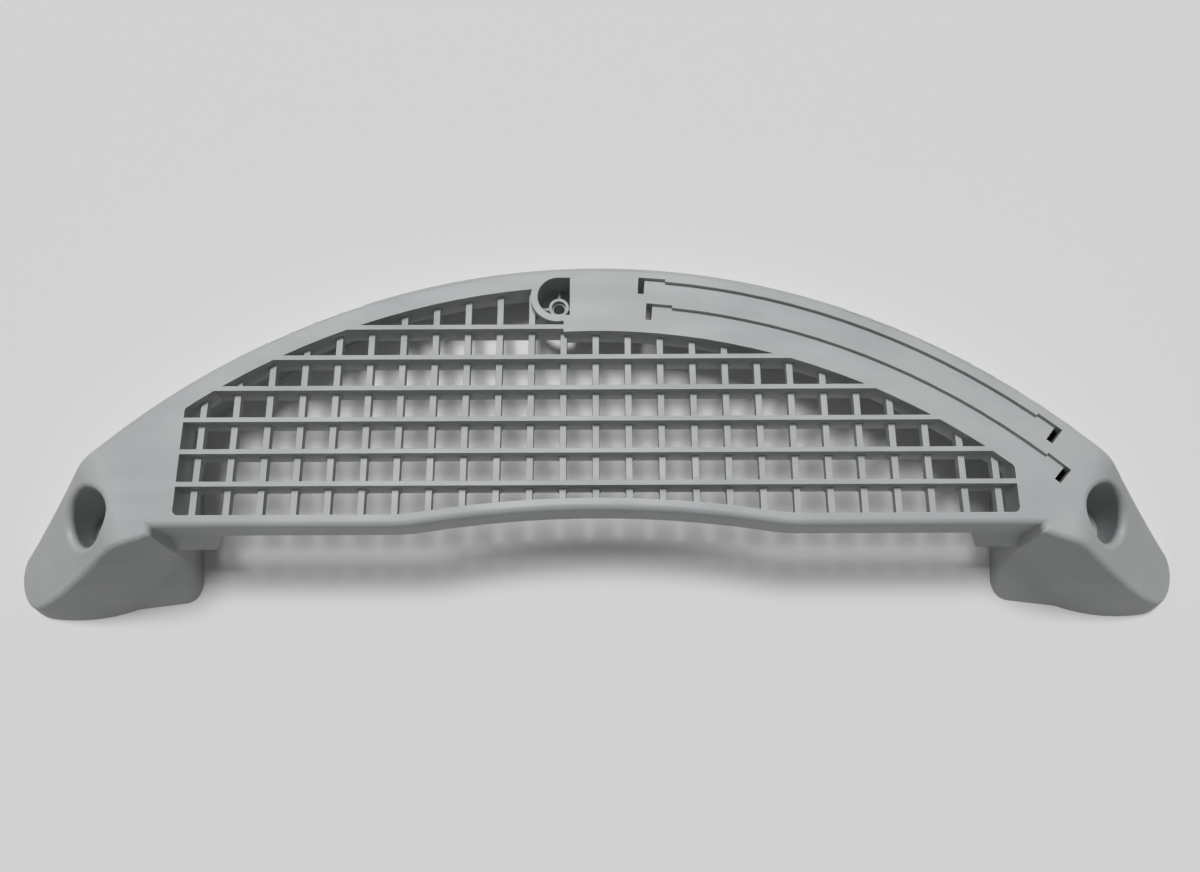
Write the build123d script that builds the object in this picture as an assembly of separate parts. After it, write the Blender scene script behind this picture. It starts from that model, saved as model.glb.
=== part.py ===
from build123d import *
import os
from math import asin, atan2, ceil, cos, degrees, floor, hypot, radians, sin, sqrt, tan

# Dryer lint filter guide cover, moulded in one piece of grey plastic.
# It is drawn with its face in the XY plane, Z out of the face and Y up towards the arched rim.
# All walls run straight back from the face, the way the mould opens.
# At the end the cover is leaned back and trimmed, so that it lies on its back edges at Z = 0.
# Millimetres and degrees.

# How the finished cover lies
FACE_TILT = 17.0            # angle between the face and the surface that the cover lies on
FACE_HEIGHT = 38.0          # height of the face's point (0, 0) above that surface
BLANK_DEPTH = 80.0          # depth of the untrimmed walls, more than any finished wall
PAST = 1.0                  # how far a cut starts outside the surface that it opens

# Moulded walls
WALL = 2.4
EDGE_RADIUS = 2.4

# Arched rim
ARC_RADIUS = 264.5
SHOULDER_Y = 16.2           # where the rim passes over the inner walls of the horns
SHOULDER_ANGLE = 4.0        # how far the rim runs on from there before it straightens

# Lip that closes the opening between the horns
LIP_FRONT_Y = -32.8
LIP_WIDTH = 4.4
LIP_DEPTH = 15.0
NOTCH_HALF_WIDTH = 68.0     # arched finger notch
NOTCH_RISE = 5.8
NOTCH_BLEND = 60.0          # radius that eases the notch into the straight lip
GUSSET_TOP = 20.0           # width of the corner gussets below the lip, at their top and foot
GUSSET_FOOT = 15.2
GUSSET_DEPTH = 24.3
GUSSET_LEAN = 3.5           # how far a gusset's foot stands in front of the lip

# Horns. Their points are measured from the inner corner of the horn's front, as (out, up).
HORN_INNER_X = 156.5        # inner walls of the horns, which guide the filter between them
CREASE_DROP = 2.7           # how far the horn's inner corner stands in front of the lip
FOOT_DROP = 7.5             # how much further the front wall stands at BLANK_DEPTH
TIP_TOP = (59.9, -4.7)      # centre of the rounded tip, drawn up to the face
TIP_TOP_RADIUS = 3.2
TIP_FOOT = (57.0, -10.6)    # centre of the rounded tip, drawn down to BLANK_DEPTH
TIP_FOOT_RADIUS = 17.5
FRONT_BOW_TOP = 13.0        # angle by which the front wall bows out
FRONT_BOW_FOOT = 27.5

# Outer facet of the horn, which folds down from the face
FOLD_POINT = (20.7, 12.3)
FOLD_ANGLE = 65.0           # direction of the fold, from the X axis
FACET_SLOPE = 43.0
FOLD_RADIUS = 12.0

# Lobe that swells out of the horn's front wall: depth, inner front, outer front, corner radius
LOBE_BACK = 15.0
LOBE_TOP = (0.0, 2.5, (10.0, -1.0), 3.0)
LOBE_BEND = (37.0, -6.2, (12.0, -8.5), 4.0)
LOBE_FOOT = (BLANK_DEPTH, -28.5, (48.0, -31.9), 12.0)

# Opening and grille
RIM_LEFT = 8.3              # width of the rim left of the step, and right of it
RIM_RIGHT = 26.5
RIM_SIDE = 7.2              # face between the opening and a horn's inner wall
STEP_X = -12.0              # where the rim changes from one width to the other
OPENING_CORNER = 2.0
RIM_WALL = 2.0              # wall that hangs behind the opening's edge
GRILLE_DEPTH = 11.2
PITCH = 12.0
FIRST_BLADE = 11.2          # centre of the lowest blade above the lip
BLADE_WIDTH = 1.9           # at its front and back edges
BAR_WIDTH = 2.4
BAR_RECESS = 4.0            # how far the bars stand back from the blades' front edges
BAR_DEPTH = 3.3
GRILLE_DRAFT = 2.0
CORNER_FRONT = 0.3          # flats between bars and blades, which widen towards the back
CORNER_BACK = 1.6

# Screw wells in the horns
WELL_POINT = (27.0, 8.5)
WELL_RADIUS = 10.0
WELL_DEPTH = 36.0
WELL_EDGE = 2.2
SCREW_RADIUS = 2.6

# Screw post in the rim, inside a D-shaped well
POST_X = -14.2
POST_INSET = 12.3           # from the crown of the rim
D_WELL_RADIUS = 7.6
D_WELL_STRAIGHT = 4.5       # straight part beside the round one
D_WELL_WALL = 2.7
D_WELL_DEPTH = 16.0
POST_RADIUS = 3.9
POST_RECESS = 10.5
POST_BORE = 2.1
POST_MOUTH = 2.7            # wider mouth of the bore
POST_MOUTH_DEPTH = 2.0
POST_RIB = 1.2
POST_RIB_DROP = 1.5

# Two sensor strip channels in the right rim: inset from the rim's edge, first and last angle
CHANNELS = ((5.2, 3.6, 40.25), (15.6, 4.4, 42.65))
CHANNEL_WIDTH = 5.6
CHANNEL_DEPTH = 1.8
POCKET_ANGLE = 2.2          # wider pocket at each end of a channel
POCKET_STEP = 0.9
SLOT_ANGLE = 0.5            # slot through the pocket's floor

ARC_CENTRE_Y = SHOULDER_Y - sqrt(ARC_RADIUS ** 2 - HORN_INNER_X ** 2)
CROWN_Y = ARC_CENTRE_Y + ARC_RADIUS
CREASE_Y = LIP_FRONT_Y - CREASE_DROP
LIP_TOP_Y = LIP_FRONT_Y + LIP_WIDTH
POST_Y = CROWN_Y - POST_INSET
OPENING_HALF_WIDTH = HORN_INNER_X - RIM_SIDE


def arc_point(radius, angle):
    """Point on a circle about the rim's centre, with the angle from the Y axis."""
    return (radius * sin(radians(angle)), ARC_CENTRE_Y + radius * cos(radians(angle)))


def horn_point(point):
    """Point of the right horn, given from the inner corner of its front."""
    return (HORN_INNER_X + point[0], CREASE_Y + point[1])


def arc_disc(radius):
    """Full disc about the rim's centre."""
    return Pos(0, ARC_CENTRE_Y) * Circle(radius)


def rectangle(x_low, x_high, y_low, y_high):
    """Rectangle given by its four sides."""
    return Pos((x_low + x_high) / 2, (y_low + y_high) / 2) * Rectangle(x_high - x_low, y_high - y_low)


def below(sketch, top, depth):
    """Prism that hangs behind the face, from top down by depth."""
    return extrude(Pos(0, 0, -top) * sketch, -depth)


def above_lip(y_line):
    """Everything between the horns above a lip line with its arched notch."""
    start = (-NOTCH_HALF_WIDTH, y_line)
    end = (NOTCH_HALF_WIDTH, y_line)
    left = (-HORN_INNER_X, y_line)
    right = (HORN_INNER_X, y_line)
    high = CROWN_Y + PAST
    notch = ThreePointArc(start, (0, y_line + NOTCH_RISE), end)
    frame = Polyline(end, right, (HORN_INNER_X, high), (-HORN_INNER_X, high), left, start)
    face = make_face(Curve() + [notch, frame])
    ends = [v for v in face.vertices() if abs(abs(v.X) - NOTCH_HALF_WIDTH) < 1e-6]
    return fillet(ends, NOTCH_BLEND)


def horn_section(side, tip_offset, tip_radius, front_drop, bow):
    """Level section through one horn: inner wall, bowed front wall, rounded tip, straight side and rim."""
    tip = horn_point(tip_offset)
    inner = horn_point((0, -front_drop))
    rim_angle = degrees(asin(HORN_INNER_X / ARC_RADIUS))
    rim = [arc_point(ARC_RADIUS, rim_angle + part * SHOULDER_ANGLE) for part in (0, 0.5, 1)]
    side_reach = hypot(tip[0] - rim[2][0], tip[1] - rim[2][1])
    side_angle = degrees(atan2(rim[2][1] - tip[1], tip[0] - rim[2][0]) - asin(tip_radius / side_reach))
    reach = hypot(tip[0] - inner[0], tip[1] - inner[1])
    front_angle = degrees(atan2(inner[1] - tip[1], tip[0] - inner[0]) + asin(tip_radius / reach)) - bow
    turns = (side_angle, (side_angle + 180 + front_angle) / 2, 180 + front_angle)
    nose = [(tip[0] + tip_radius * sin(radians(t)), tip[1] + tip_radius * cos(radians(t))) for t in turns]
    heading = (-cos(radians(front_angle)), sin(radians(front_angle)))
    edges = [ThreePointArc(*rim), Line(rim[2], nose[0]), ThreePointArc(*nose)]
    edges += [TangentArc(nose[2], inner, tangent=heading), Line(inner, rim[0])]
    face = make_face(Curve() + edges)
    return face if side > 0 else mirror(face, Plane.YZ)


def lobe_section(side, front, outer, corner):
    """Level section through the lobe on a horn's front wall."""
    inner_back = horn_point((0, LOBE_BACK))
    inner_front = horn_point((0, front))
    outer_front = horn_point(outer)
    outer_back = horn_point((outer[0], LOBE_BACK))
    face = make_face(Polyline(inner_back, inner_front, outer_front, outer_back, close=True))
    nearest = face.vertices().sort_by(lambda v: hypot(v.X - inner_front[0], v.Y - inner_front[1]))[0]
    face = fillet(nearest, corner)
    return face if side > 0 else mirror(face, Plane.YZ)


def stack(sections, inset):
    """Solid through level sections given as (depth, sketch), drawn in by inset on all sides and the top."""
    levels = []
    for depth, sketch in sections:
        outline = offset(sketch, -inset) if inset else sketch
        levels.append(Pos(0, 0, -max(depth, inset)) * outline.face())
    return loft(levels[::-1], ruled=True)


def facet_plane(side, inset):
    """Outer facet of a horn, moved inwards by inset."""
    across = Vector(side * sin(radians(FOLD_ANGLE)), -cos(radians(FOLD_ANGLE)), 0)
    normal = across * sin(radians(FACET_SLOPE)) + Vector(0, 0, cos(radians(FACET_SLOPE)))
    x, y = horn_point(FOLD_POINT)
    return Plane(origin=Vector(side * x, y, 0) - normal * inset, z_dir=normal)


def horn(side, inset):
    """One horn with its lobe, drawn in by inset all round."""
    top = horn_section(side, TIP_TOP, TIP_TOP_RADIUS, 0, FRONT_BOW_TOP)
    foot = horn_section(side, TIP_FOOT, TIP_FOOT_RADIUS, FOOT_DROP, FRONT_BOW_FOOT)
    body = stack([(0, top), (BLANK_DEPTH, foot)], inset)
    levels = (LOBE_TOP, LOBE_BEND, LOBE_FOOT)
    body += stack([(depth, lobe_section(side, *level)) for depth, *level in levels], inset)
    return split(body, bisect_by=facet_plane(side, inset), keep=Keep.BOTTOM)


def skin_border(block):
    """Edges where the front skin of a block meets its walls."""
    steepest = cos(radians(FACET_SLOPE + 5))
    edges = block.faces().filter_by(lambda f: f.normal_at().Z > steepest).edges()
    return ShapeList([e for e in edges if sum(e.is_same(other) for other in edges) == 1])


def on_facet_fold(edge):
    """Whether an edge is the fold between the face and a horn's outer facet."""
    ends = (edge @ 0, edge @ 1)
    for side in (-1, 1):
        plane = facet_plane(side, 0)
        if all(abs(p.Z) < 1e-4 and abs(plane.to_local_coords(p).Z) < 1e-4 for p in ends):
            return True
    return False


def well(side, margin):
    """Round well in a horn, grown by margin."""
    x, y = horn_point(WELL_POINT)
    return below(Pos(side * x, y) * Circle(WELL_RADIUS + margin), -PAST, PAST + WELL_DEPTH + margin)


def well_mouth(block):
    """Edges where the wells open in the skin of a block."""
    bores = block.faces().filter_by(lambda f: f.geom_type == GeomType.CYLINDER and f.radius == WELL_RADIUS)
    edges = bores.edges().filter_by(lambda e: e.geom_type != GeomType.LINE)
    return edges.filter_by(lambda e: e.center().Z > -WELL_DEPTH + PAST)


def envelope():
    """Outside of the cover as a solid block with rounded edges and its two wells."""
    block = below(arc_disc(ARC_RADIUS) & above_lip(LIP_FRONT_Y), 0, BLANK_DEPTH)
    for side in (-1, 1):
        block += horn(side, 0)
    block = fillet(block.edges().filter_by(on_facet_fold), FOLD_RADIUS)
    block = fillet(skin_border(block), EDGE_RADIUS)
    block -= [well(side, 0) for side in (-1, 1)]
    return fillet(well_mouth(block), WELL_EDGE)


def opening():
    """Outline of the grille's opening in the face."""
    low = LIP_TOP_Y - PAST
    left = rectangle(-OPENING_HALF_WIDTH, STEP_X, low, CROWN_Y)
    whole = rectangle(-OPENING_HALF_WIDTH, OPENING_HALF_WIDTH, low, CROWN_Y)
    window = (arc_disc(ARC_RADIUS - RIM_LEFT) & left) + (arc_disc(ARC_RADIUS - RIM_RIGHT) & whole)
    window = window & above_lip(LIP_TOP_Y)
    corners = window.vertices().filter_by(lambda v: abs(abs(v.X) - OPENING_HALF_WIDTH) < 1e-6)
    window = fillet(corners, OPENING_CORNER)
    return window - Pos(POST_X, POST_Y) * Circle(D_WELL_RADIUS + D_WELL_WALL)


def sector(inner, outer, start, end):
    """Piece of a ring about the rim's centre, between two angles from the Y axis."""
    middle = (start + end) / 2
    far = [arc_point(outer, a) for a in (start, middle, end)]
    near = [arc_point(inner, a) for a in (end, middle, start)]
    edges = [ThreePointArc(*far), Line(far[2], near[0]), ThreePointArc(*near), Line(near[2], far[0])]
    return make_face(Curve() + edges)


def channels():
    """Two shallow channels with wider end pockets and slots through the rim."""
    cuts = []
    for inset, start, end in CHANNELS:
        outer = ARC_RADIUS - inset
        inner = outer - CHANNEL_WIDTH
        cuts.append(below(sector(inner, outer, start, end), -PAST, PAST + CHANNEL_DEPTH))
        for a, b in ((start, start + POCKET_ANGLE), (end - POCKET_ANGLE, end)):
            cuts.append(below(sector(inner, outer + POCKET_STEP, a, b), -PAST, PAST + CHANNEL_DEPTH))
        for a, b in ((start, start + SLOT_ANGLE), (end - SLOT_ANGLE, end)):
            cuts.append(below(sector(inner, outer + POCKET_STEP, a, b), 0, CHANNEL_DEPTH + WALL + PAST))
    return cuts


def channel_backing():
    """Thicker rim behind the channels."""
    insets, starts, ends = zip(*CHANNELS)
    inner = ARC_RADIUS - max(insets) - CHANNEL_WIDTH - WALL
    outer = ARC_RADIUS - min(insets) + WALL
    band = sector(inner, outer, min(starts) - POCKET_ANGLE / 2, max(ends) + POCKET_ANGLE / 2)
    return below(band, 0, CHANNEL_DEPTH + WALL)


def d_shape(margin):
    """D-shaped well in the rim, grown by margin."""
    radius = D_WELL_RADIUS + margin
    left = rectangle(-radius, 0, -radius, radius)
    straight = rectangle(0, D_WELL_STRAIGHT + margin, -radius, radius)
    return Pos(POST_X, POST_Y) * ((Circle(radius) & left) + straight)


def post():
    """Screw post inside the D-shaped well, held by three ribs."""
    place = Pos(POST_X, POST_Y)
    half = POST_RIB / 2
    rib_top = POST_RECESS + POST_RIB_DROP
    reach = D_WELL_RADIUS + D_WELL_WALL / 2
    right = D_WELL_STRAIGHT + D_WELL_WALL / 2
    ribs = rectangle(-reach, right, -half, half) + rectangle(-half, half, 0, reach)
    body = below(place * Circle(POST_RADIUS), POST_RECESS, BLANK_DEPTH)
    body += below(place * ribs, rib_top, D_WELL_DEPTH - rib_top)
    body -= below(place * Circle(POST_BORE), POST_RECESS, BLANK_DEPTH)
    return body - below(place * Circle(POST_MOUTH), POST_RECESS, POST_MOUTH_DEPTH)


def hollow(window):
    """Space inside the walls: the filter's room between the horns, and the inside of each horn."""
    space = below(arc_disc(ARC_RADIUS - WALL) & above_lip(LIP_FRONT_Y + WALL), WALL, BLANK_DEPTH)
    for side in (-1, 1):
        space += horn(side, WALL)
    space -= [well(side, WALL) for side in (-1, 1)]
    space -= below(offset(window, RIM_WALL), 0, GRILLE_DEPTH)
    space -= below(d_shape(D_WELL_WALL), 0, D_WELL_DEPTH)
    return space - channel_backing()


def gusset(side):
    """Corner plate below the lip, leaning forward, against the inner wall of a horn."""
    back_y = LIP_FRONT_Y + WALL
    lines = [(LIP_FRONT_Y, PAST - LIP_DEPTH), (back_y, PAST - LIP_DEPTH), (back_y, -LIP_DEPTH)]
    lines += [(back_y - GUSSET_LEAN, -GUSSET_DEPTH), (LIP_FRONT_Y - GUSSET_LEAN, -GUSSET_DEPTH)]
    lines += [(LIP_FRONT_Y, -LIP_DEPTH)]
    root_x = HORN_INNER_X + WALL
    profile = make_face(Polyline(*[(side * root_x, y, z) for y, z in lines], close=True))
    plate = extrude(profile, GUSSET_TOP + WALL, dir=(-side, 0, 0))
    top_x = HORN_INNER_X - GUSSET_TOP
    foot_x = HORN_INNER_X - GUSSET_FOOT
    corners = [(top_x, -LIP_DEPTH), (foot_x, -GUSSET_DEPTH), (top_x, -GUSSET_DEPTH)]
    end = make_face(Polyline(*[(side * x, CREASE_Y - GUSSET_LEAN, z) for x, z in corners], close=True))
    return plate - extrude(end, back_y - CREASE_Y + GUSSET_LEAN, dir=(0, 1, 0))


def filter_mouth():
    """Gap under the lip through which the filter slides in."""
    low = LIP_FRONT_Y - PAST
    high = LIP_FRONT_Y + NOTCH_RISE + WALL + PAST
    return below(rectangle(-HORN_INNER_X, HORN_INNER_X, low, high), LIP_DEPTH, BLANK_DEPTH)


def screw_holes():
    """Holes through the floors of the wells."""
    x, y = horn_point(WELL_POINT)
    hole = below(Circle(SCREW_RADIUS), WELL_DEPTH - PAST, BLANK_DEPTH)
    return [Pos(side * x, y) * hole for side in (-1, 1)]


def blade_y(row):
    """Centre line of a blade, counted up from the lip."""
    return LIP_TOP_Y + FIRST_BLADE + row * PITCH


def blade_at_bars():
    """Half width of a blade where the bars meet it."""
    return BLADE_WIDTH / 2 + BAR_RECESS * tan(radians(GRILLE_DRAFT))


def blade(row):
    """One blade across the grille, thickest where the bars meet it."""
    half = BLADE_WIDTH / 2
    middle = blade_at_bars()
    bar_back = BAR_RECESS + BAR_DEPTH
    steps = [(half, 0), (middle, -BAR_RECESS), (middle, -bar_back), (half, -GRILLE_DEPTH)]
    profile = steps + [(-y, z) for y, z in reversed(steps)]
    points = [(-HORN_INNER_X, blade_y(row) + y, z) for y, z in profile]
    return extrude(make_face(Polyline(*points, close=True)), 2 * HORN_INNER_X, dir=(1, 0, 0))


def cell(height):
    """Hole between two bars in a row of the given height, with narrower corners at the front."""
    levels = []
    for depth, corner in ((BAR_RECESS - PAST, CORNER_FRONT), (BAR_RECESS + BAR_DEPTH + PAST, CORNER_BACK)):
        draft = 2 * (depth - BAR_RECESS) * tan(radians(GRILLE_DRAFT))
        outline = Rectangle(PITCH - BAR_WIDTH - draft, height - 2 * blade_at_bars())
        levels.append(Pos(0, 0, -depth) * chamfer(outline.vertices(), corner).face())
    return loft(levels, ruled=True)


def grille(window):
    """Blades flush with the face and, set back behind them, the bars. The top row reaches up to the rim."""
    columns = ceil(OPENING_HALF_WIDTH / PITCH)
    blades = floor((CROWN_Y - RIM_LEFT - blade_y(0)) / PITCH)
    top_row = CROWN_Y - blade_y(blades - 1)
    rows = [(blade_y(j - 0.5), cell(PITCH)) for j in range(blades)]
    rows.append((blade_y(blades - 1) + top_row / 2, cell(top_row)))
    xs = [(i + 0.5) * PITCH for i in range(-columns, columns)]
    bars = below(window, BAR_RECESS, BAR_DEPTH) - [Pos(x, y) * hole for x in xs for y, hole in rows]
    fronts = below(window, 0, GRILLE_DEPTH) & (Part() + [blade(j) for j in range(blades)])
    return bars + fronts


def lean(body):
    """Lean the cover back, the way it lies."""
    return Pos(0, 0, FACE_HEIGHT) * Rot(X=-FACE_TILT) * body


def guide_cover():
    """The whole moulding, lying on its back edges with the middle of its box at X = Y = 0."""
    window = opening()
    body = envelope() - hollow(window) - filter_mouth()
    body += [gusset(side) for side in (-1, 1)]
    body -= below(window, -PAST, PAST + GRILLE_DEPTH)
    body -= below(d_shape(0), -PAST, BLANK_DEPTH)
    body -= screw_holes()
    body -= channels()
    body += post()
    cover = split(lean(body), bisect_by=Plane.XY, keep=Keep.TOP) + lean(grille(window))
    middle = cover.bounding_box().center()
    return Pos(-middle.X, -middle.Y, 0) * cover


os.makedirs("parts", exist_ok=True)
export_step(guide_cover(), "parts/guide_cover.step")
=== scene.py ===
# %% [markdown]
# # A dryer's lint filter guide cover
#
# The real object is one piece of light grey plastic, moulded in one shot: an arched
# cover with a grille, a lip with a finger notch, and a raised horn at each end.
# Its form comes from CAD at its true size. This file gives it the eased edges, the
# moulded finish, the light and the camera. First the imported model is loaded, and its
# box is kept.

# %% Load the imported model
from math import cos, radians, sin

import bmesh
import bpy
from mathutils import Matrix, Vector


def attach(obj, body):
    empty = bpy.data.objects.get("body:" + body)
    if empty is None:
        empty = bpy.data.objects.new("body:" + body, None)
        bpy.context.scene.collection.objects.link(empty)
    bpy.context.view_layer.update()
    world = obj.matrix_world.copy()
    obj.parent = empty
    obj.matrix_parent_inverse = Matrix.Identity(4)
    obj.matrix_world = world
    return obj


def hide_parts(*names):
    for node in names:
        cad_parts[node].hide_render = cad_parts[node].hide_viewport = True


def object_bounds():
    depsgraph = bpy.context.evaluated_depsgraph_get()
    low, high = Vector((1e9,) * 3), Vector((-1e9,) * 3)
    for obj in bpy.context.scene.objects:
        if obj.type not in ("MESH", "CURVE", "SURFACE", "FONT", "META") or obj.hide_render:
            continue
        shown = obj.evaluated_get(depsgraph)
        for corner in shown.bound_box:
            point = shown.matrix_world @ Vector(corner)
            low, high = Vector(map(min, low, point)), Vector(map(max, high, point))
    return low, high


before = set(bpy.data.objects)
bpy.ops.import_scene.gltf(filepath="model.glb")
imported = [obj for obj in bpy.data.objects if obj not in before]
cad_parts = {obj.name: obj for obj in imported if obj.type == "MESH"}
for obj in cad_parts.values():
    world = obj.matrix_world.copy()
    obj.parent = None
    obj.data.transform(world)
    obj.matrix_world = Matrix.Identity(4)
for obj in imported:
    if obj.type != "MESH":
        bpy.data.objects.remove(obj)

scene = bpy.context.scene
cad_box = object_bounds()
cad_low, cad_high = cad_box
print("CAD box, mm:", [round(v * 1000, 1) for v in (cad_high - cad_low)])

# %% [markdown]
# ## The moulding
#
# A CAD mesh is loose triangles with razor-sharp corners. A mould never makes those:
# its cutter leaves every corner a little round, and that thin round line is what
# catches the light. A bump could fake it, but it would vanish from the outline, so the
# edges are bevelled in a copy of the mesh. The copy is merged first, so that the
# triangles share their corners. Then flat neighbours are dissolved into whole faces,
# which gives the bevel clean borders to run along.

# %% Merge a copy of the CAD cover
MM = 0.001
SAME_POINT = 0.002 * MM
SHORT_EDGE = 0.05 * MM
FLAT_ANGLE = radians(0.3)


def merged_cover():
    """The CAD cover as one mesh with shared corners and whole flat faces."""
    shape = bmesh.new()
    shape.from_mesh(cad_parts["guide_cover"].data)
    bmesh.ops.remove_doubles(shape, verts=shape.verts, dist=SAME_POINT)
    bmesh.ops.dissolve_limit(shape, angle_limit=FLAT_ANGLE, verts=shape.verts, edges=shape.edges)
    bmesh.ops.dissolve_degenerate(shape, dist=SHORT_EDGE, edges=shape.edges)
    return shape


shape = merged_cover()
print("merged cover:", len(shape.verts), "vertices,", len(shape.faces), "faces")

# %% [markdown]
# Only the outer corners are eased, where two faces meet at more than a shallow angle.
# The arched rim's border is already round in the CAD. Its long thin triangles meet at
# odd angles, so it is found by its distance from the rim's centre and left alone. The
# border is taken a hair wider than it is, so that its own edges count as part of it.

# %% Tell real corners from the rim's rounded border
SHARP_ANGLE = radians(32)
FACE_TILT = radians(17)
FACE_NORMAL = Vector((0, sin(FACE_TILT), cos(FACE_TILT)))
RIM_CENTRE = Vector((0, -184.08, 95.61)) * MM
RIM_RADIUS = 264.5 * MM
BORDER_ROUND = 2.45 * MM


def on_round_border(vertex):
    """Whether a vertex lies on the rounded border of the arched rim."""
    offset = vertex.co - RIM_CENTRE
    height = offset.dot(FACE_NORMAL)
    radius = (offset - height * FACE_NORMAL).length
    return radius > RIM_RADIUS - BORDER_ROUND and height > -BORDER_ROUND


def is_corner(edge):
    """Whether two faces meet at a real corner."""
    if all(on_round_border(v) for v in edge.verts):
        return False
    return edge.calc_face_angle(0) > SHARP_ANGLE


print("corners:", sum(is_corner(e) for e in shape.edges), "of", len(shape.edges), "edges")

# %% [markdown]
# The bevel leaves narrow new faces. They are marked in an attribute, because the plastic
# wears lighter there. The attribute is made before the bevel, since a new layer would
# make the list of new faces stale. Where short edges meet, the bevel can push a corner
# a hair below the floor, so the lowest points are set back onto it.

# %% Ease the outer corners
EDGE_ROUND = 0.22 * MM


def ease_corners(shape):
    """Bevel the sharp outer corners and mark the new faces."""
    eased = shape.faces.layers.float.new("eased")
    corners = [e for e in shape.edges if is_corner(e) and e.calc_face_angle_signed(0) > 0]
    made = bmesh.ops.bevel(
        shape, geom=corners, offset=EDGE_ROUND, offset_type="OFFSET", affect="EDGES",
        segments=2, profile=0.5, material=-1, clamp_overlap=False, loop_slide=True)
    for face in made["faces"]:
        face[eased] = 1.0
    for vertex in shape.verts:
        vertex.co.z = max(vertex.co.z, cad_low.z)
    return len(corners), len(made["faces"])


print("eased corners and new faces:", ease_corners(shape))

# %% [markdown]
# The cover is shaded smooth, except across the edges that are still steep, such as the
# inner corners. Weighted normals let the broad faces stay flat right up to their rounded
# borders.

# %% Put the moulding in the place of the CAD cover
def moulded_cover(shape):
    """Smooth-shaded object from the eased mesh."""
    for face in shape.faces:
        face.smooth = True
    for edge in shape.edges:
        edge.smooth = not is_corner(edge)
    mesh = bpy.data.meshes.new("moulded_cover")
    shape.to_mesh(mesh)
    shape.free()
    if "custom_normal" in mesh.attributes:
        mesh.attributes.remove(mesh.attributes["custom_normal"])
    cover = bpy.data.objects.new("moulded_cover", mesh)
    scene.collection.objects.link(cover)
    normals = cover.modifiers.new("flat_faces_stay_flat", "WEIGHTED_NORMAL")
    normals.keep_sharp = True
    return cover


cover = moulded_cover(shape)
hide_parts("guide_cover")
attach(cover, "root")
print("moulded cover:", len(cover.data.vertices), "vertices,", len(cover.data.polygons), "faces")

# %% [markdown]
# ## The plastic
#
# The real cover is a cool light grey plastic, coloured in the mass and not painted. The
# mould's wall is spark-eroded, so the plastic comes out with a very fine, even grain
# that makes it matte. A photograph could be laid over it, but it would blur close up
# and bring its own light along. Noise that is worked out in space needs no unwrapping:
# it reads the Object coordinates, which are metres here, so a scale of 1000 gives
# spots of about a millimetre. Two helpers make the patterns, and one mixes colours.

# %% Helpers for patterns in space
def noise(tree, scale, detail, stretch=(1.0, 1.0, 1.0)):
    """Noise between 0 and 1 on the object's own coordinates."""
    place = tree.nodes.new("ShaderNodeTexCoord")
    mapping = tree.nodes.new("ShaderNodeMapping")
    mapping.inputs["Scale"].default_value = stretch
    spots = tree.nodes.new("ShaderNodeTexNoise")
    spots.inputs["Scale"].default_value = scale
    spots.inputs["Detail"].default_value = detail
    tree.links.new(place.outputs["Object"], mapping.inputs["Vector"])
    tree.links.new(mapping.outputs["Vector"], spots.inputs["Vector"])
    return spots.outputs["Fac"]


def remap(tree, value, low, high, to_low, to_high):
    """Stretch the part of a pattern between low and high to new limits."""
    node = tree.nodes.new("ShaderNodeMapRange")
    node.interpolation_type = "SMOOTHSTEP"
    node.inputs["From Min"].default_value = low
    node.inputs["From Max"].default_value = high
    node.inputs["To Min"].default_value = to_low
    node.inputs["To Max"].default_value = to_high
    tree.links.new(value, node.inputs["Value"])
    return node.outputs["Result"]


def mixed(tree, share, first, second):
    """Mix of two colours. The first one may be the output of another node."""
    node = tree.nodes.new("ShaderNodeMix")
    node.data_type = "RGBA"
    tree.links.new(share, node.inputs["Factor"])
    if hasattr(first, "node"):
        tree.links.new(first, node.inputs["A"])
    else:
        node.inputs["A"].default_value = first
    node.inputs["B"].default_value = second
    return node.outputs["Result"]


print("helpers:", noise.__name__, remap.__name__, mixed.__name__)

# %% [markdown]
# The colour is never quite even: the plastic cools at different speeds behind the
# thick and the thin walls, which leaves soft clouds a few centimetres wide. They are a
# mix of two greys that lie close together.

# %% Two greys in soft clouds
GREY_DEEP = (0.383, 0.398, 0.404, 1.0)
GREY_PALE = (0.424, 0.437, 0.441, 1.0)
CLOUD_SCALE = 28.0


def clouded_grey(tree):
    """Grey that drifts between the two tones."""
    spots = noise(tree, CLOUD_SCALE, detail=3.0)
    clouds = remap(tree, spots, low=0.35, high=0.65, to_low=0.0, to_high=1.0)
    return mixed(tree, clouds, GREY_DEEP, GREY_PALE)


print("greys apart by", round(GREY_PALE[0] - GREY_DEEP[0], 3))

# %% [markdown]
# Handling rubs the outer corners paler, in patches and not along their whole length.
# A curvature trick with a Bevel or Pointiness node would change with the render
# settings. The corners were marked when they were eased, so that mark is used here,
# broken up by noise.

# %% Worn corners
WORN_GREY = (0.56, 0.57, 0.575, 1.0)
WEAR_SCALE = 160.0


def worn_corners(tree, colour):
    """The colour with paler patches along the eased corners."""
    mark = tree.nodes.new("ShaderNodeAttribute")
    mark.attribute_name = "eased"
    spots = noise(tree, WEAR_SCALE, detail=2.0)
    patches = remap(tree, spots, low=0.42, high=0.62, to_low=0.1, to_high=0.7)
    share = tree.nodes.new("ShaderNodeMath")
    share.operation = "MULTIPLY"
    tree.links.new(mark.outputs["Fac"], share.inputs[0])
    tree.links.new(patches, share.inputs[1])
    return mixed(tree, share.outputs["Value"], colour, WORN_GREY)


print("worn corners use the mark:", "eased" in cover.data.attributes)

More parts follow.
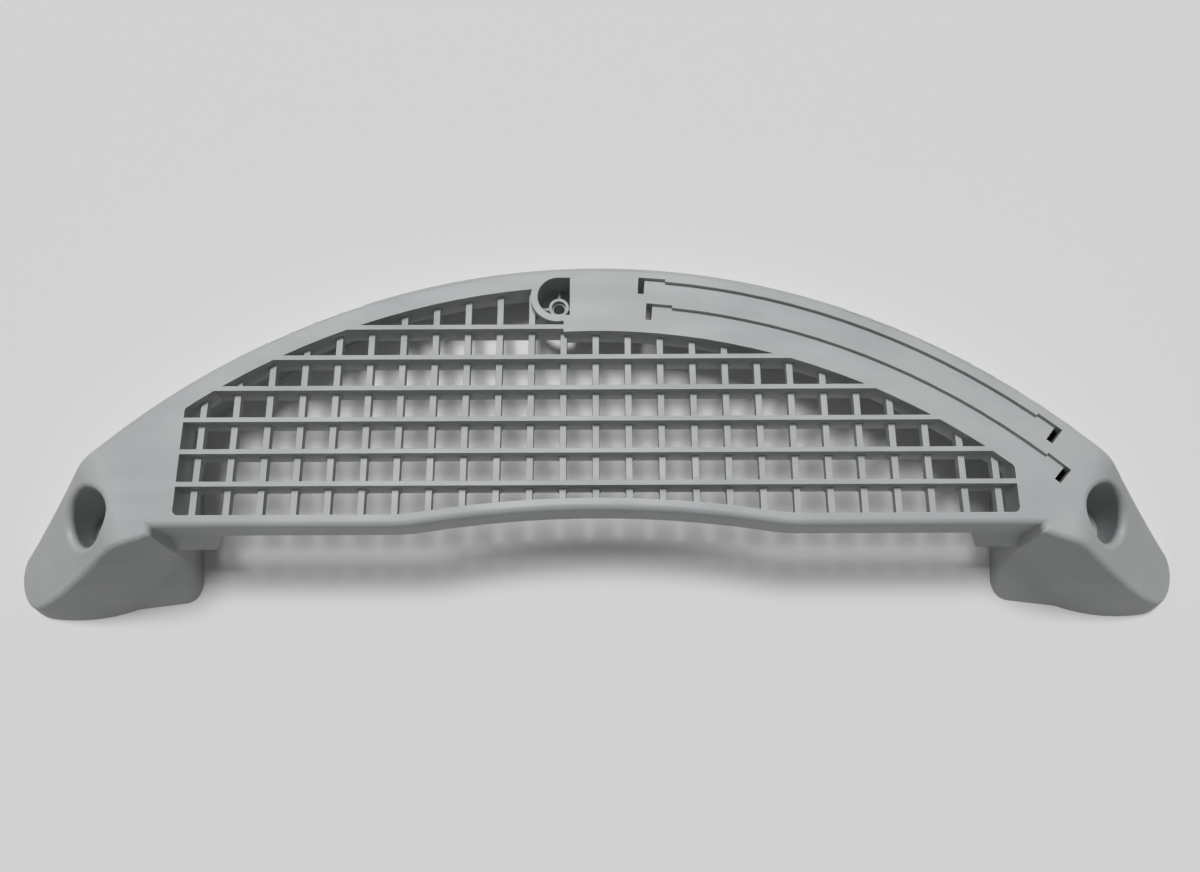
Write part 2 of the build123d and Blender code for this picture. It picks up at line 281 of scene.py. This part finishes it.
# %% [markdown]
# The roughness drifts a little too, with faint rub marks along the cover's length,
# which only show where the light slides over them. The grain is a bump: it is far
# too fine to model, and it doesn't change the outline.

# %% Roughness and grain
MATTE = 0.6
RUBBED = 0.48
RUB_SCALE = 90.0
ALONG_THE_COVER = (0.25, 1.6, 1.0)
GRAIN_SCALE = 1800.0
GRAIN_DEPTH = 0.03 * MM
GRAIN_STRENGTH = 0.35


def rubbed_roughness(tree):
    """Matte, with faint long rub marks that are a little smoother."""
    rubs = noise(tree, RUB_SCALE, detail=4.0, stretch=ALONG_THE_COVER)
    return remap(tree, rubs, low=0.3, high=0.7, to_low=MATTE, to_high=RUBBED)


def moulded_grain(tree):
    """Fine bump of the spark-eroded mould."""
    bump = tree.nodes.new("ShaderNodeBump")
    bump.inputs["Strength"].default_value = GRAIN_STRENGTH
    bump.inputs["Distance"].default_value = GRAIN_DEPTH
    tree.links.new(noise(tree, GRAIN_SCALE, detail=2.0), bump.inputs["Height"])
    return bump.outputs["Normal"]


print("grain, mm:", round(1 / GRAIN_SCALE / MM, 2))

# %% [markdown]
# The Principled shader takes the three patterns. Plastic keeps its plain reflection at
# an index of refraction of about 1.5, which is set on the socket itself because it is
# the same all over.

# %% Grey plastic
PLASTIC_IOR = 1.48


def grey_plastic():
    """Matte light grey plastic with clouds, worn corners and a moulded grain."""
    material = bpy.data.materials.new("grey_plastic")
    material.use_nodes = True
    tree = material.node_tree
    shader = tree.nodes["Principled BSDF"]
    shader.inputs["IOR"].default_value = PLASTIC_IOR
    tree.links.new(worn_corners(tree, clouded_grey(tree)), shader.inputs["Base Color"])
    tree.links.new(rubbed_roughness(tree), shader.inputs["Roughness"])
    tree.links.new(moulded_grain(tree), shader.inputs["Normal"])
    return material


cover.data.materials.clear()
cover.data.materials.append(grey_plastic())
print("plastic nodes:", len(cover.data.materials[0].node_tree.nodes))

# %% [markdown]
# ## The floor
#
# The cover lies on a plain pale floor, so that its dark hollows and its shadow read
# clearly. A single large face is enough. It belongs to the stage and not to the
# object.

# %% Pale floor
FLOOR_HALF = 3.0
FLOOR_COLOUR = (0.8, 0.8, 0.795, 1.0)
FLOOR_ROUGHNESS = 0.85


def pale_floor():
    """Plain pale floor under the cover."""
    shape = bmesh.new()
    bmesh.ops.create_grid(shape, x_segments=1, y_segments=1, size=FLOOR_HALF)
    mesh = bpy.data.meshes.new("floor")
    shape.to_mesh(mesh)
    shape.free()
    floor = bpy.data.objects.new("floor", mesh)
    scene.collection.objects.link(floor)
    material = bpy.data.materials.new("floor")
    material.use_nodes = True
    shader = material.node_tree.nodes["Principled BSDF"]
    shader.inputs["Base Color"].default_value = FLOOR_COLOUR
    shader.inputs["Roughness"].default_value = FLOOR_ROUGHNESS
    floor.data.materials.append(material)
    return floor


print("floor, m:", pale_floor().dimensions.x)

# %% [markdown]
# ## The light
#
# One large soft lamp stands high behind the arched rim. It lights the face, leaves the
# front of the horns and the lip in half shade, and lets the hollows behind the rim go
# dark. An area lamp close by would leave the far floor dim, so a sun lamp is used: its
# light is the same everywhere, and a wide angle softens its shadows.

# %% Soft lamp
LAMP_FROM = Vector((-0.1, 0.72, 1.25))
LAMP_ANGLE = radians(16)
LAMP_STRENGTH = 2.45


def soft_lamp():
    """Sun lamp that shines from LAMP_FROM onto the cover."""
    lamp = bpy.data.lights.new("soft_lamp", "SUN")
    lamp.angle = LAMP_ANGLE
    lamp.energy = LAMP_STRENGTH
    holder = bpy.data.objects.new("soft_lamp", lamp)
    holder.location = LAMP_FROM
    holder.rotation_euler = (-LAMP_FROM).to_track_quat("-Z", "Y").to_euler()
    scene.collection.objects.link(holder)
    return holder


print("lamp turned by:", [round(a, 2) for a in soft_lamp().rotation_euler])

# %% [markdown]
# The world is a dim white that only fills the shade. Seen directly or mirrored it
# would make a dark wall behind the pale floor, so the Light Path node shows a pale
# backdrop to the camera and to reflections. On the matte cover that adds only a faint
# sheen, while a brighter fill would wash out the shade.

# %% Dim fill and pale backdrop
FILL_STRENGTH = 0.11
BACKDROP_STRENGTH = 0.64
WHITE = (1.0, 1.0, 1.0, 1.0)


def studio_world():
    """World with a dim fill and a pale backdrop."""
    world = bpy.data.worlds.new("studio")
    world.use_nodes = True
    tree = world.node_tree
    fill = tree.nodes["Background"]
    fill.inputs["Color"].default_value = WHITE
    fill.inputs["Strength"].default_value = FILL_STRENGTH
    backdrop = tree.nodes.new("ShaderNodeBackground")
    backdrop.inputs["Color"].default_value = WHITE
    backdrop.inputs["Strength"].default_value = BACKDROP_STRENGTH
    rays = tree.nodes.new("ShaderNodeLightPath")
    seen = rays.outputs["Is Camera Ray"]
    for kind in ("Is Glossy Ray", "Is Transmission Ray"):
        either = tree.nodes.new("ShaderNodeMath")
        either.operation = "MAXIMUM"
        tree.links.new(seen, either.inputs[0])
        tree.links.new(rays.outputs[kind], either.inputs[1])
        seen = either.outputs["Value"]
    mix = tree.nodes.new("ShaderNodeMixShader")
    tree.links.new(seen, mix.inputs["Fac"])
    tree.links.new(fill.outputs["Background"], mix.inputs[1])
    tree.links.new(backdrop.outputs["Background"], mix.inputs[2])
    tree.links.new(mix.outputs["Shader"], tree.nodes["World Output"].inputs["Surface"])
    return world


scene.world = studio_world()
print("world nodes:", len(scene.world.node_tree.nodes))

# %% [markdown]
# ## The camera
#
# The photograph looks straight down on the cover from close by: the horns, which stand
# nearer to the lens, look larger than the rim behind them. So the camera keeps that
# height and that short lens. A longer lens from further away would show the horns and
# the rim at one scale, and less of the insides of the walls.

# %% Camera
PHOTO_SIZE = (1200, 872)
FOCAL_PX = 989.0
CAMERA_HEIGHT = 0.394
CAMERA_PLACE = (0.00147, 0.0044)
CAMERA_ROLL = -0.00407
SENSOR_WIDTH = 36.0
NEAREST = 0.01

lens = bpy.data.cameras.new("camera")
lens.sensor_fit = "HORIZONTAL"
lens.sensor_width = SENSOR_WIDTH
lens.lens = SENSOR_WIDTH * FOCAL_PX / PHOTO_SIZE[0]
lens.clip_start = NEAREST
camera = bpy.data.objects.new("camera", lens)
camera.location = (*CAMERA_PLACE, CAMERA_HEIGHT)
camera.rotation_euler = (0, 0, CAMERA_ROLL)
scene.collection.objects.link(camera)
scene.camera = camera
scene.view_settings.view_transform = "Standard"
print("camera lens, mm:", round(lens.lens, 2))
